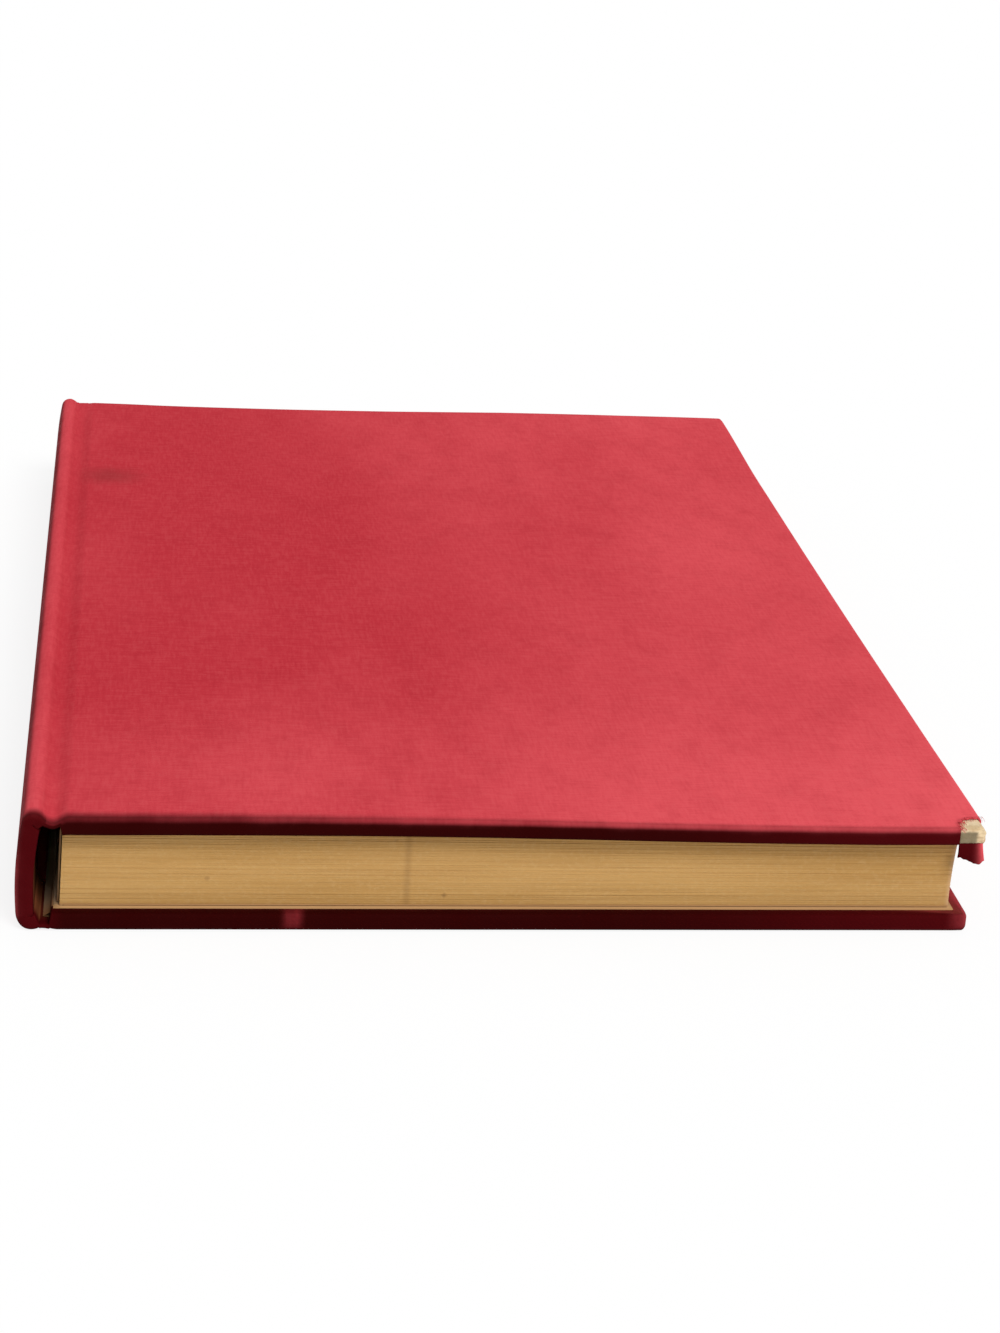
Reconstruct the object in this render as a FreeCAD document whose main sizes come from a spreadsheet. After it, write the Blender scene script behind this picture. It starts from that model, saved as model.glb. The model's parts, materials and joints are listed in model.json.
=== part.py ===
"""Cloth-covered hardback book lying on its back cover, in millimetres.

X runs from the spine to the fore-edge, Y from the tail to the head and Z up.
The origin is the centre of the underside of the closed book.
Root pieces are drawn in the book frame: x is 0 near the back of the spine, y is 0 at
the tail edge of the covers and z is 0 at the outer face of the back cover.
Each cover is drawn in a frame of its own: x is 0 at its groove, where it hinges,
y is 0 at one end and z is 0 at its outer face and grows towards the leaves.
"""
import FreeCAD, Part
import math
import os
import Sketcher

SIZES = {
    # Leaves
    "page_height": 216.0,
    "page_width": 133.5,
    "block_thickness": 10.35,       # at the fore-edge
    "swell": 1.15,                  # extra thickness of the leaves at their sewn back
    "block_lean": 0.4,              # the top leaf sits that far towards the fore-edge
    "joint_inset": 1.3,             # front cover's groove to the back of the top leaf
    # Covers
    "cover_width": 138.7,           # groove to fore-edge
    "tail_square": 2.6,             # how far the covers stand past the leaves
    "head_square": 3.4,
    "board_thickness": 2.0,
    "board_start": 1.6,             # groove to the board's edge
    "board_edge_radius": 0.4,       # rubbed edges of the outer face
    "board_inner_radius": 0.3,
    "corner_radius": 1.2,
    "front_groove_depth": 0.8,
    "back_groove_depth": 0.35,
    "lean": 1.6,                    # the front cover sits that far towards the fore-edge
    "worn_radius": 4.2,             # cloth lost round the front cover's tail corner
    # Cloth, paper and mull
    "cloth_thickness": 0.35,
    "turn_in": 15.0,
    "mitre_slit": 0.12,
    "paper_thickness": 0.15,
    "pastedown_margin": 2.0,
    "leaf_gap": 0.15,               # air between pastedown and flyleaf
    "mull_thickness": 0.15,
    "mull_flap_width": 25.0,
    "mull_inset": 18.0,             # from the covers' ends to the mull
    "lining_thickness": 0.25,
    "lining_inset": 1.0,            # from the leaves' ends to the lining
    # Spine
    "card_thickness": 2.0,
    "front_reach": 4.5,             # groove to the back of the spine, at the front cover
    "back_reach": 3.9,
    "front_ridge_radius": 1.7,
    "back_ridge_radius": 2.4,
    "front_ridge_rise": 0.5,        # above the front cover's face
    "panel_radius": 60.0,           # slight bulge of the spine
    "cap_rise": 1.0,                # the spine stands past the covers at the head
    "cap_corner_radius": 1.5,
    "cap_slope_run": 2.6,
    "cap_slope_gap": 0.1,           # from the front groove to the foot of the cap's slope
    # Clearances
    "seam_gap": 0.1,                # between the spine's cloth and a cover's cloth
    "hinge_clearance": 0.3,         # between a cover laid right back and the spine's ridge
}

doc = FreeCAD.newDocument("hardback_book")
sheet = doc.addObject("Spreadsheet::Sheet", "sizes")
for row, (alias, size) in enumerate(SIZES.items(), start=1):
    sheet.set(f"A{row}", alias)
    sheet.set(f"B{row}", str(size))
    sheet.setAlias(f"B{row}", alias)
doc.recompute()


def cell(alias):
    return float(sheet.get(alias))


def bound(text):
    """Turns bare size names into references to the sheet."""
    words = text.replace("(", "( ").replace(")", " )").split()
    return " ".join(f"sizes.{word}" if word in SIZES else word for word in words)


def number(text):
    return float(sheet.evalExpression(bound(text)))


# Lengths that several pieces share, as expressions of the sheet's sizes
COVER_HEIGHT = "(page_height + tail_square + head_square)"
COVER_STACK = "(board_thickness + 2 * cloth_thickness)"
BOARD_INNER = "(board_thickness + cloth_thickness)"
BLOCK_BOTTOM = f"({COVER_STACK} + 2 * paper_thickness + leaf_gap)"
BACK_HINGE = "back_reach"
FRONT_HINGE = f"({BACK_HINGE} + lean)"
BACK_TOP = f"({FRONT_HINGE} + joint_inset)"
BACK_BOTTOM = f"({BACK_TOP} - block_lean)"
FORE_TOP = f"({BACK_TOP} + page_width)"
FORE_BOTTOM = f"({BACK_BOTTOM} + page_width)"
BLOCK_FORE_TOP = f"({BLOCK_BOTTOM} + block_thickness)"
BLOCK_BACK_TOP = f"({BLOCK_FORE_TOP} + swell)"
SWELL_AT_HINGE = "(swell * (page_width + joint_inset) / page_width)"
FRONT_FACE = f"({BLOCK_FORE_TOP} + {SWELL_AT_HINGE} + {BLOCK_BOTTOM})"


def origin_plane(body, role):
    return next(part for part in body.Origin.OriginFeatures if part.Role == role)


def new_body(name):
    body = doc.addObject("PartDesign::Body", name)
    body.Label = name
    return body


def outline(body, name, plane, corners, level=None):
    """Draws a closed outline through corners, each a pair of expressions."""
    sketch = body.newObject("Sketcher::SketchObject", name)
    sketch.AttachmentSupport = [(origin_plane(body, plane), "")]
    sketch.MapMode = "FlatFace"
    if level is not None:
        sketch.setExpression("AttachmentOffset.Base.z", bound(level))
    points = [FreeCAD.Vector(number(x), number(y), 0) for x, y in corners]
    count = len(points)
    for index, start in enumerate(points):
        end = points[(index + 1) % count]
        sketch.addGeometry(Part.LineSegment(start, end), False)
    for index, (x, y) in enumerate(corners):
        before = (index - 1) % count
        sketch.addConstraint(Sketcher.Constraint("Coincident", before, 2, index, 1))
        for kind, text, axis in (("DistanceX", x, -2), ("DistanceY", y, -1)):
            if text == "0":
                sketch.addConstraint(Sketcher.Constraint("PointOnObject", index, 1, axis))
                continue
            made = sketch.addConstraint(
                Sketcher.Constraint(kind, -1, 1, index, 1, number(text)))
            sketch.setExpression(f"Constraints[{made}]", bound(text))
    return sketch


def arc_between(start, end, radius):
    """Arc that bulges to the right of the way from start to end."""
    chord = end - start
    half = chord.Length / 2
    right = FreeCAD.Vector(chord.y, -chord.x, 0).normalize()
    middle = (start + end) * 0.5
    sagitta = radius - math.sqrt(radius * radius - half * half)
    return Part.Arc(start, middle + right * sagitta, end)


def pad(body, name, sketch, length, backwards=False):
    feature = body.newObject("PartDesign::Pad", name)
    feature.Profile = sketch
    feature.setExpression("Length", bound(length))
    feature.Reversed = backwards
    doc.recompute()
    return feature


def pocket(body, name, sketch, depth, upwards=False):
    before = body.Shape.Volume
    feature = body.newObject("PartDesign::Pocket", name)
    feature.Profile = sketch
    feature.setExpression("Length", bound(depth))
    feature.Reversed = upwards
    doc.recompute()
    if body.Shape.Volume > before - 0.01:
        raise RuntimeError(f"{name} cuts nothing")
    return feature


def fillet(body, name, base, radius, wanted):
    """Rounds the edges of the feature base for which wanted(edge) is true."""
    chosen = [f"Edge{index}" for index, edge in enumerate(base.Shape.Edges, start=1)
              if wanted(edge)]
    feature = body.newObject("PartDesign::Fillet", name)
    feature.Base = (base, chosen)
    feature.setExpression("Radius", bound(radius))
    doc.recompute()
    return feature


def rectangle(left, right, low, high):
    return [(left, low), (right, low), (right, high), (left, high)]


def upright(edge):
    box = edge.BoundBox
    return box.ZLength > 0.1 and box.XLength < 0.01 and box.YLength < 0.01


def at_level(edge, level):
    box = edge.BoundBox
    return box.ZLength < 0.001 and abs(box.ZMin - level) < 0.001


def book_placement(start_y="0"):
    """Puts a root piece, drawn from y = 0, at start_y along the book."""
    return FreeCAD.Placement(
        FreeCAD.Vector(-centre_x, number(start_y) - centre_y, 0), FreeCAD.Rotation())


def cover_placement(side):
    """The back cover lies as drawn; the front one is turned over and tilted by the swell."""
    if side == "back":
        base = FreeCAD.Vector(number(BACK_HINGE) - centre_x, -centre_y, 0)
        return FreeCAD.Placement(base, FreeCAD.Rotation())
    half_tilt = math.atan(number("swell / page_width")) / 2
    half_turn = FreeCAD.Rotation(FreeCAD.Vector(math.cos(half_tilt), 0, -math.sin(half_tilt)), 180)
    base = FreeCAD.Vector(
        number(FRONT_HINGE) - centre_x, number(COVER_HEIGHT) - centre_y, number(FRONT_FACE))
    return FreeCAD.Placement(base, half_turn)


# Leaves and what is glued to them

def make_text_block():
    body = new_body("text_block")
    corners = [
        (BACK_BOTTOM, BLOCK_BOTTOM),
        (FORE_BOTTOM, BLOCK_BOTTOM),
        (FORE_TOP, BLOCK_FORE_TOP),
        (BACK_TOP, BLOCK_BACK_TOP),
    ]
    sketch = outline(body, "leaves_section", "XZ_Plane", corners)
    pad(body, "leaves", sketch, "page_height", backwards=True)
    body.Placement = book_placement("tail_square")
    return body


def make_flyleaf(side):
    body = new_body(f"{side}_flyleaf")
    if side == "front":
        near, far = BACK_TOP, FORE_TOP
        near_level, far_level = BLOCK_BACK_TOP, BLOCK_FORE_TOP
    else:
        near, far = BACK_BOTTOM, FORE_BOTTOM
        near_level = far_level = f"{BLOCK_BOTTOM} - paper_thickness"
    corners = [
        (near, near_level),
        (far, far_level),
        (far, f"{far_level} + paper_thickness"),
        (near, f"{near_level} + paper_thickness"),
    ]
    sketch = outline(body, f"{side}_flyleaf_section", "XZ_Plane", corners)
    pad(body, f"{side}_leaf", sketch, "page_height", backwards=True)
    body.Placement = book_placement("tail_square")
    return body


def make_spine_mull():
    body = new_body("spine_mull")
    corners = [
        (BACK_BOTTOM, BLOCK_BOTTOM),
        (BACK_TOP, BLOCK_BACK_TOP),
        (f"{BACK_TOP} - mull_thickness", BLOCK_BACK_TOP),
        (f"{BACK_BOTTOM} - mull_thickness", BLOCK_BOTTOM),
    ]
    sketch = outline(body, "mull_section", "XZ_Plane", corners)
    pad(body, "mull", sketch, f"{COVER_HEIGHT} - 2 * mull_inset", backwards=True)
    body.Placement = book_placement("mull_inset")
    return body


def make_spine_lining():
    body = new_body("spine_lining")
    low = f"{BACK_BOTTOM} - mull_thickness"
    high = f"{BACK_TOP} - mull_thickness"
    corners = [
        (low, BLOCK_BOTTOM),
        (high, BLOCK_BACK_TOP),
        (f"{high} - lining_thickness", BLOCK_BACK_TOP),
        (f"{low} - lining_thickness", BLOCK_BOTTOM),
    ]
    sketch = outline(body, "lining_section", "XZ_Plane", corners)
    pad(body, "lining", sketch, "page_height - 2 * lining_inset", backwards=True)
    body.Placement = book_placement("tail_square + lining_inset")
    return body


# Spine: a chain of arcs from the front groove round the back to the rear groove.
# Each arc is centre x, centre z, radius, first angle, last angle and bend, which is 1
# where the centre lies inside the spine and -1 where it lies outside.

def spine_chain():
    front_x, back_x = number(FRONT_HINGE), number(BACK_HINGE)
    front_groove = number(FRONT_FACE) - cell("front_groove_depth")
    back_groove = cell("back_groove_depth")
    front_radius, back_radius = cell("front_ridge_radius"), cell("back_ridge_radius")
    front = FreeCAD.Vector(
        front_x - cell("front_reach") + front_radius,
        number(FRONT_FACE) + cell("front_ridge_rise") - front_radius, 0)
    back = FreeCAD.Vector(back_x - cell("back_reach") + back_radius, back_radius, 0)
    front_hollow_radius = hollow_radius(front_x - front.x, front_groove - front.y, front_radius)
    front_hollow = FreeCAD.Vector(front_x, front_groove + front_hollow_radius, 0)
    back_hollow_radius = hollow_radius(back_x - back.x, back.y - back_groove, back_radius)
    back_hollow = FreeCAD.Vector(back_x, back_groove - back_hollow_radius, 0)
    panel_radius = cell("panel_radius")
    panel = meeting_point(front, panel_radius - front_radius, back, panel_radius - back_radius)
    return [
        (front_hollow, front_hollow_radius, -math.pi / 2, angle(front_hollow, front), -1),
        (front, front_radius, angle(front, front_hollow), angle(panel, front), 1),
        (panel, panel_radius, angle(panel, front), angle(panel, back), 1),
        (back, back_radius, angle(panel, back), angle(back, back_hollow), 1),
        (back_hollow, back_hollow_radius, angle(back_hollow, back), math.pi / 2, -1),
    ]


def hollow_radius(run, drop, ridge_radius):
    """Radius of the arc that touches a ridge and lies level at the groove."""
    return (run * run + drop * drop - ridge_radius * ridge_radius) / (2 * (ridge_radius - drop))


def meeting_point(first, first_radius, second, second_radius):
    """Where two circles cross, on the side of the leaves."""
    way = second - first
    along = (way.Length ** 2 + first_radius ** 2 - second_radius ** 2) / (2 * way.Length)
    across = math.sqrt(first_radius ** 2 - along ** 2)
    way.normalize()
    side = FreeCAD.Vector(-way.y, way.x, 0)
    if side.x < 0:
        side = side * -1
    return first + way * along + side * across


def angle(start, end):
    return math.atan2(end.y - start.y, end.x - start.x)


def arc_points(arc, depth):
    """Start, middle and end of an arc moved inwards by depth."""
    centre, radius, first, last, bend = arc
    turn = (last - first + math.pi) % (2 * math.pi) - math.pi
    moved = radius - bend * depth
    return [FreeCAD.Vector(centre.x + moved * math.cos(a), 0, centre.y + moved * math.sin(a))
            for a in (first, first + turn / 2, first + turn)]


def strip(arcs, outer, inner, start_y, length):
    """Sheet that follows arcs between two depths, from start_y along the book."""
    outside = [arc_points(arc, outer) for arc in arcs]
    inside = [arc_points(arc, inner) for arc in arcs]
    edges = [Part.Arc(*points).toShape() for points in outside]
    edges.append(Part.makeLine(outside[-1][2], inside[-1][2]))
    edges += [Part.Arc(*points[::-1]).toShape() for points in inside[::-1]]
    edges.append(Part.makeLine(inside[0][0], outside[0][0]))
    face = Part.Face(Part.Wire(edges))
    face.translate(FreeCAD.Vector(0, start_y, 0))
    return face.extrude(FreeCAD.Vector(0, length, 0))


def spine_plan(inset):
    """Block whose plan is the spine's: rounded corners, and a cap that runs down to the covers."""
    left = number(f"{BACK_HINGE} - back_reach") + inset
    right = number(FRONT_HINGE)
    radius = cell("cap_corner_radius") - inset
    high = number(COVER_HEIGHT) + cell("cap_rise") - inset
    shelf = number(COVER_HEIGHT) - inset
    run, rise = cell("cap_slope_run"), cell("cap_rise")
    slope_radius = (run * run + rise * rise) / (4 * rise)
    slope_end = FreeCAD.Vector(right - cell("cap_slope_gap"), shelf, 0)
    slope_start = FreeCAD.Vector(slope_end.x - run, high, 0)
    slope_middle = (slope_start + slope_end) * 0.5
    diagonal = radius * (1 - math.sqrt(0.5))
    corner = [
        (left + radius, inset, 0), (right, inset, 0), (right, shelf, 0), slope_end,
        slope_start, (left + radius, high, 0), (left, high - radius, 0), (left, inset + radius, 0),
    ]
    corner = [FreeCAD.Vector(*point) for point in corner]
    edges = [
        Part.makeLine(corner[0], corner[1]),
        Part.makeLine(corner[1], corner[2]),
        Part.makeLine(corner[2], corner[3]),
        arc_between(slope_end, slope_middle, slope_radius).toShape(),
        arc_between(slope_start, slope_middle, slope_radius).toShape(),
        Part.makeLine(corner[4], corner[5]),
        Part.Arc(corner[5], FreeCAD.Vector(left + diagonal, high - diagonal, 0),
                 corner[6]).toShape(),
        Part.makeLine(corner[6], corner[7]),
        Part.Arc(corner[7], FreeCAD.Vector(left + diagonal, inset + diagonal, 0),
                 corner[0]).toShape(),
    ]
    tall = number(FRONT_FACE) + cell("front_ridge_rise") + 1
    face = Part.Face(Part.Wire(Part.__sortEdges__(edges)))
    face.translate(FreeCAD.Vector(0, 0, -1))
    return face.extrude(FreeCAD.Vector(0, 0, tall + 1))


def card_shape(arcs):
    cloth, card = cell("cloth_thickness"), cell("card_thickness")
    whole = number(COVER_HEIGHT) + cell("cap_rise")
    slab = strip(arcs[2:3], cloth, cloth + card, 0, whole)
    return slab.common(spine_plan(cloth))


def lengthened(arc, reach):
    """The same arc, longer by reach at both ends."""
    centre, radius, first, last, bend = arc
    turn = (last - first + math.pi) % (2 * math.pi) - math.pi
    more = math.copysign(reach / radius, turn)
    return (centre, radius, first - more, last + more, bend)


def make_spine_card(arcs):
    piece = doc.addObject("Part::Feature", "spine_card")
    piece.Label = "spine_card"
    piece.Shape = card_shape(arcs)
    piece.Placement = book_placement()
    return piece


def make_spine_cloth(arcs):
    cloth, card, turn = cell("cloth_thickness"), cell("card_thickness"), cell("turn_in")
    whole = number(COVER_HEIGHT) + cell("cap_rise")
    cloth_sheet = strip(arcs, 0, cloth, 0, whole)
    for start in (0, whole - turn):
        folded_in = strip(arcs, cloth, 2 * cloth, start, turn)
        over_card = strip([lengthened(arcs[2], cloth)], cloth, 2 * cloth + card, start, turn)
        cloth_sheet = cloth_sheet.fuse([folded_in, over_card])
    piece = doc.addObject("Part::Feature", "spine_cloth")
    piece.Label = "spine_cloth"
    piece.Shape = cloth_sheet.common(spine_plan(0)).cut(card_shape(arcs)).removeSplitter()
    piece.Placement = book_placement()
    return piece


# Covers

def make_board_blank(name):
    body = new_body(name)
    corners = rectangle(
        "board_start", "cover_width - cloth_thickness",
        "cloth_thickness", f"{COVER_HEIGHT} - cloth_thickness")
    sketch = outline(body, f"{name}_outline", "XY_Plane", corners, level="cloth_thickness")
    slab = pad(body, f"{name}_slab", sketch, "board_thickness")
    rounded = fillet(body, f"{name}_corners", slab, "corner_radius", upright)
    outer, inner = cell("cloth_thickness"), number(BOARD_INNER)
    rounded = fillet(body, f"{name}_rubbed_edges", rounded, "board_edge_radius",
                     lambda edge: at_level(edge, outer))
    fillet(body, f"{name}_inner_edges", rounded, "board_inner_radius",
           lambda edge: at_level(edge, inner))
    return body


def make_board(side):
    body = make_board_blank(f"{side}_board")
    corners = rectangle(
        "board_start - 1", "board_start + mull_flap_width",
        "mull_inset", f"{COVER_HEIGHT} - mull_inset")
    sketch = outline(body, f"{side}_mull_seat_outline", "XY_Plane", corners, level=BOARD_INNER)
    pocket(body, f"{side}_mull_seat", sketch, "mull_thickness")
    body.Placement = cover_placement(side)
    return body


def make_mull_flap(side):
    body = new_body(f"{side}_mull_flap")
    corners = rectangle(
        "board_start", "board_start + mull_flap_width",
        "mull_inset", f"{COVER_HEIGHT} - mull_inset")
    sketch = outline(body, f"{side}_mull_flap_outline", "XY_Plane", corners,
                     level=f"{BOARD_INNER} - mull_thickness")
    pad(body, f"{side}_flap", sketch, "mull_thickness")
    body.Placement = cover_placement(side)
    return body


def make_pastedown(side):
    body = new_body(f"{side}_pastedown")
    corners = rectangle(
        "board_start", "cover_width - pastedown_margin",
        "pastedown_margin", f"{COVER_HEIGHT} - pastedown_margin")
    sketch = outline(body, f"{side}_sheet_outline", "XY_Plane", corners, level=BOARD_INNER)
    pad(body, f"{side}_sheet", sketch, "cloth_thickness + paper_thickness")
    corners = rectangle(
        "board_start - 1", "cover_width - turn_in - paper_thickness",
        "turn_in + paper_thickness", f"{COVER_HEIGHT} - turn_in - paper_thickness")
    sketch = outline(body, f"{side}_sunk_outline", "XY_Plane", corners,
                     level=f"{COVER_STACK} + paper_thickness")
    pocket(body, f"{side}_sunk_middle", sketch, "cloth_thickness")
    corners = [
        ("board_start - 1", "pastedown_margin - 1"),
        ("cover_width - pastedown_margin + 1", "pastedown_margin - 1"),
        ("cover_width - pastedown_margin + 1", f"{COVER_HEIGHT} - pastedown_margin + 1"),
        ("board_start - 1", f"{COVER_HEIGHT} - pastedown_margin + 1"),
        ("board_start - 1", f"{COVER_HEIGHT} - turn_in"),
        ("cover_width - turn_in", f"{COVER_HEIGHT} - turn_in"),
        ("cover_width - turn_in", "turn_in"),
        ("board_start - 1", "turn_in"),
    ]
    sketch = outline(body, f"{side}_over_turn_in_outline", "XY_Plane", corners, level=BOARD_INNER)
    pocket(body, f"{side}_over_turn_in", sketch, "cloth_thickness", upwards=True)
    body.Placement = cover_placement(side)
    return body


def make_cloth_blank(side):
    """The wrapped cover as one block, with the strip of cloth that lies in the groove."""
    name = f"{side}_wrap"
    body = new_body(name)
    corners = rectangle("board_start - cloth_thickness", "cover_width", "0", COVER_HEIGHT)
    sketch = outline(body, f"{name}_outline", "XY_Plane", corners)
    block = pad(body, f"{name}_block", sketch, COVER_STACK)
    rounded = fillet(body, f"{name}_corners", block, "corner_radius + cloth_thickness",
                     lambda edge: upright(edge) and edge.BoundBox.XMin > cell("turn_in"))
    rounded = fillet(body, f"{name}_outer_edges", rounded, "board_edge_radius + cloth_thickness",
                     lambda edge: at_level(edge, 0))
    left = number("board_start - cloth_thickness")
    inner = number(COVER_STACK)
    fillet(body, f"{name}_inner_edges", rounded, "board_inner_radius + cloth_thickness",
           lambda edge: at_level(edge, inner) and edge.BoundBox.XMax > left + 0.001)
    corners = rectangle("seam_gap", "board_start", "0", COVER_HEIGHT)
    sketch = outline(body, f"{name}_joint_outline", "XY_Plane", corners, level=f"{side}_groove_depth")
    pad(body, f"{name}_joint", sketch, "2 * cloth_thickness")
    return body


def make_box(name, left, right, low, high, floor, top):
    box = doc.addObject("Part::Box", name)
    box.setExpression("Length", bound(f"{right} - ( {left} )"))
    box.setExpression("Width", bound(f"{high} - ( {low} )"))
    box.setExpression("Height", bound(f"{top} - ( {floor} )"))
    box.setExpression("Placement.Base.x", bound(left))
    box.setExpression("Placement.Base.y", bound(low))
    box.setExpression("Placement.Base.z", bound(floor))
    return box


def make_mitre_slit(side, end):
    """Slit between two turn-ins, from the cover's fore-edge corner at 45 degrees."""
    slit = doc.addObject("Part::Box", f"{side}_mitre_{end}")
    slit.setExpression("Length", bound("1.5 * turn_in"))
    slit.setExpression("Width", bound("mitre_slit"))
    slit.setExpression("Height", bound("cloth_thickness + 1"))
    turned = 135 if end == "low" else 225
    slit.Placement.Rotation = FreeCAD.Rotation(FreeCAD.Vector(0, 0, 1), turned)
    slit.setExpression("Placement.Base.x", bound("cover_width"))
    slit.setExpression("Placement.Base.y", bound("0" if end == "low" else COVER_HEIGHT))
    slit.setExpression("Placement.Base.z", bound(BOARD_INNER))
    return slit


def make_cover_cloth(side):
    blank = make_cloth_blank(side)
    tools = [
        make_board_blank(f"{side}_former"),
        make_box(f"{side}_window", "board_start - cloth_thickness", "cover_width - turn_in",
                 "turn_in", f"{COVER_HEIGHT} - turn_in", BOARD_INNER, f"{COVER_STACK} + 1"),
        make_box(f"{side}_joint_window", "0", "board_start + board_inner_radius",
                 "turn_in", f"{COVER_HEIGHT} - turn_in",
                 f"{side}_groove_depth + cloth_thickness", f"{COVER_STACK} + 1"),
        make_mitre_slit(side, "low"),
        make_mitre_slit(side, "high"),
    ]
    if side == "front":
        tools.append(make_worn_corner())
    tool = doc.addObject("Part::MultiFuse", f"{side}_cloth_tools")
    tool.Shapes = tools
    cloth = doc.addObject("Part::Cut", f"{side}_cloth")
    cloth.Label = f"{side}_cloth"
    cloth.Base = blank
    cloth.Tool = tool
    doc.recompute()
    cloth.Placement = cover_placement(side)
    return cloth


def make_worn_corner():
    """Rubbed-through tail corner; the front cover is turned over, so its tail end is high."""
    worn = doc.addObject("Part::Cylinder", "worn_corner")
    worn.setExpression("Radius", bound("worn_radius"))
    worn.setExpression("Height", bound(f"{COVER_STACK} + 2"))
    worn.setExpression("Placement.Base.x", bound("cover_width"))
    worn.setExpression("Placement.Base.y", bound(COVER_HEIGHT))
    worn.Placement.Base.z = -1
    return worn


arcs = spine_chain()
spine_box = strip(arcs, 0, cell("cloth_thickness"), 0, 1).BoundBox
centre_x = (spine_box.XMin + number(f"{FRONT_HINGE} + cover_width")) / 2
centre_y = number(f"{COVER_HEIGHT} + cap_rise") / 2

pieces = [
    make_text_block(),
    make_flyleaf("front"),
    make_flyleaf("back"),
    make_spine_mull(),
    make_spine_lining(),
    make_spine_card(arcs),
    make_spine_cloth(arcs),
]
for cover_side in ("front", "back"):
    pieces += [
        make_board(cover_side),
        make_cover_cloth(cover_side),
        make_pastedown(cover_side),
        make_mull_flap(cover_side),
    ]
doc.recompute()

for item in doc.Objects:
    if "Invalid" in item.State or "Error" in item.State:
        raise RuntimeError(f"{item.Label} failed: {item.State}")
for piece in pieces:
    if piece.Shape.isNull() or not piece.Shape.isValid() or not piece.Shape.Solids:
        raise RuntimeError(f"{piece.Label} has no sound shape")

os.makedirs("parts", exist_ok=True)
for piece in pieces:
    piece.Shape.exportStep(f"parts/{piece.Label}.step")
    box = piece.Shape.BoundBox
    print(f"{piece.Label}: {len(piece.Shape.Solids)} solid, {piece.Shape.Volume:.1f} mm3, "
          f"x {box.XMin:.2f} to {box.XMax:.2f}, y {box.YMin:.2f} to {box.YMax:.2f}, "
          f"z {box.ZMin:.2f} to {box.ZMax:.2f}")

# Hinge lines, for the record
front_axis_z = number(f"{FRONT_FACE} + (front_ridge_rise + hinge_clearance) / 2")
back_axis_z = number("hinge_clearance / -2")
print(f"front hinge: x {number(FRONT_HINGE) - centre_x:.3f}, z {front_axis_z:.3f}")
print(f"back hinge: x {number(BACK_HINGE) - centre_x:.3f}, z {back_axis_z:.3f}")
print(f"front face at the groove: z {number(FRONT_FACE):.3f}")
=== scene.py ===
"""Looks of the cloth-covered hardback book: cloth, leaves, endpapers, light and camera.

Everything is in metres in the frame's own axes: X from the spine to the fore-edge,
Y from the tail to the head, Z up. A cover has a frame of its own for drawing: x grows
from its groove, y from the tail, and z from its outer face towards the leaves.
"""
import json
import math
import random
import bmesh
import bpy
from mathutils import Matrix, Vector, noise


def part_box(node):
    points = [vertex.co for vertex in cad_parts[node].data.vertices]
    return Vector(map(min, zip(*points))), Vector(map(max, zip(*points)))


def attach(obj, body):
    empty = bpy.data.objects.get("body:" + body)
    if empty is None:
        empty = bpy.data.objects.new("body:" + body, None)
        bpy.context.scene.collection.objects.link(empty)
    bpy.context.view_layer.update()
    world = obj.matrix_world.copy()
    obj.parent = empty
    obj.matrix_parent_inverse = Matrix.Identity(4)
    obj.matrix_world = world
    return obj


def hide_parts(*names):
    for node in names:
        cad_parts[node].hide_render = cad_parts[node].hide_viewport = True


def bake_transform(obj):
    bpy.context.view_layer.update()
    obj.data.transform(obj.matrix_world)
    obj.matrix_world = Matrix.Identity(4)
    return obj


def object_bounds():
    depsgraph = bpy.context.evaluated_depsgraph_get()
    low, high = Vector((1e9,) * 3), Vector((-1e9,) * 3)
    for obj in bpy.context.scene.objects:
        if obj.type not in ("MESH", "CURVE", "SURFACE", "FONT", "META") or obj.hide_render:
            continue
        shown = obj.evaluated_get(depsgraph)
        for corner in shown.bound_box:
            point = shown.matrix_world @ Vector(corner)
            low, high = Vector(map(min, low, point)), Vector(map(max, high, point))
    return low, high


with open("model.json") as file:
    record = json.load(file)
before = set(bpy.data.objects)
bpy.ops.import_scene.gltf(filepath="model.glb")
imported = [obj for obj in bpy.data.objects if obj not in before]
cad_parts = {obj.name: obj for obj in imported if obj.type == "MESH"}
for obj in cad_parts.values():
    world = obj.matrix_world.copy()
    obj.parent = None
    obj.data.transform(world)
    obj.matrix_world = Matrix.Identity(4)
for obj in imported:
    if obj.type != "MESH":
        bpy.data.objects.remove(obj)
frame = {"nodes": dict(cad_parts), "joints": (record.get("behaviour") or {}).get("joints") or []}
cad_low, cad_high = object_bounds()

MM = 0.001

# Sizes shared with the solids
CLOTH = 0.35 * MM
PAPER = 0.15 * MM
BOARD = 2.0 * MM
CARD = 2.0 * MM
STACK = BOARD + 2 * CLOTH
BOARD_START = 1.6 * MM
COVER_WIDTH = 138.7 * MM
GROOVE_DEPTH = {"front": 0.8 * MM, "back": 0.35 * MM}
TURN_IN = 15.0 * MM
PASTEDOWN_MARGIN = 2.0 * MM
BLOCK_THICKNESS = 10.35 * MM
SWELL = 1.15 * MM
PAGE_WIDTH = 133.5 * MM
HINGE_OFFSET = {"front": 0.4 * MM, "back": 0.15 * MM}
RIDGE_RADIUS = {"front": 1.7 * MM, "back": 2.4 * MM}
RIDGE_REACH = {"front": 4.5 * MM, "back": 3.9 * MM}
RIDGE_RISE = {"front": 0.5 * MM, "back": 0.0}
PANEL_RADIUS = 60.0 * MM
CAP_RISE = 1.0 * MM
CAP_CORNER = 1.5 * MM
CAP_SLOPE_RUN = 2.6 * MM
CAP_SLOPE_GAP = 0.1 * MM

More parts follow.
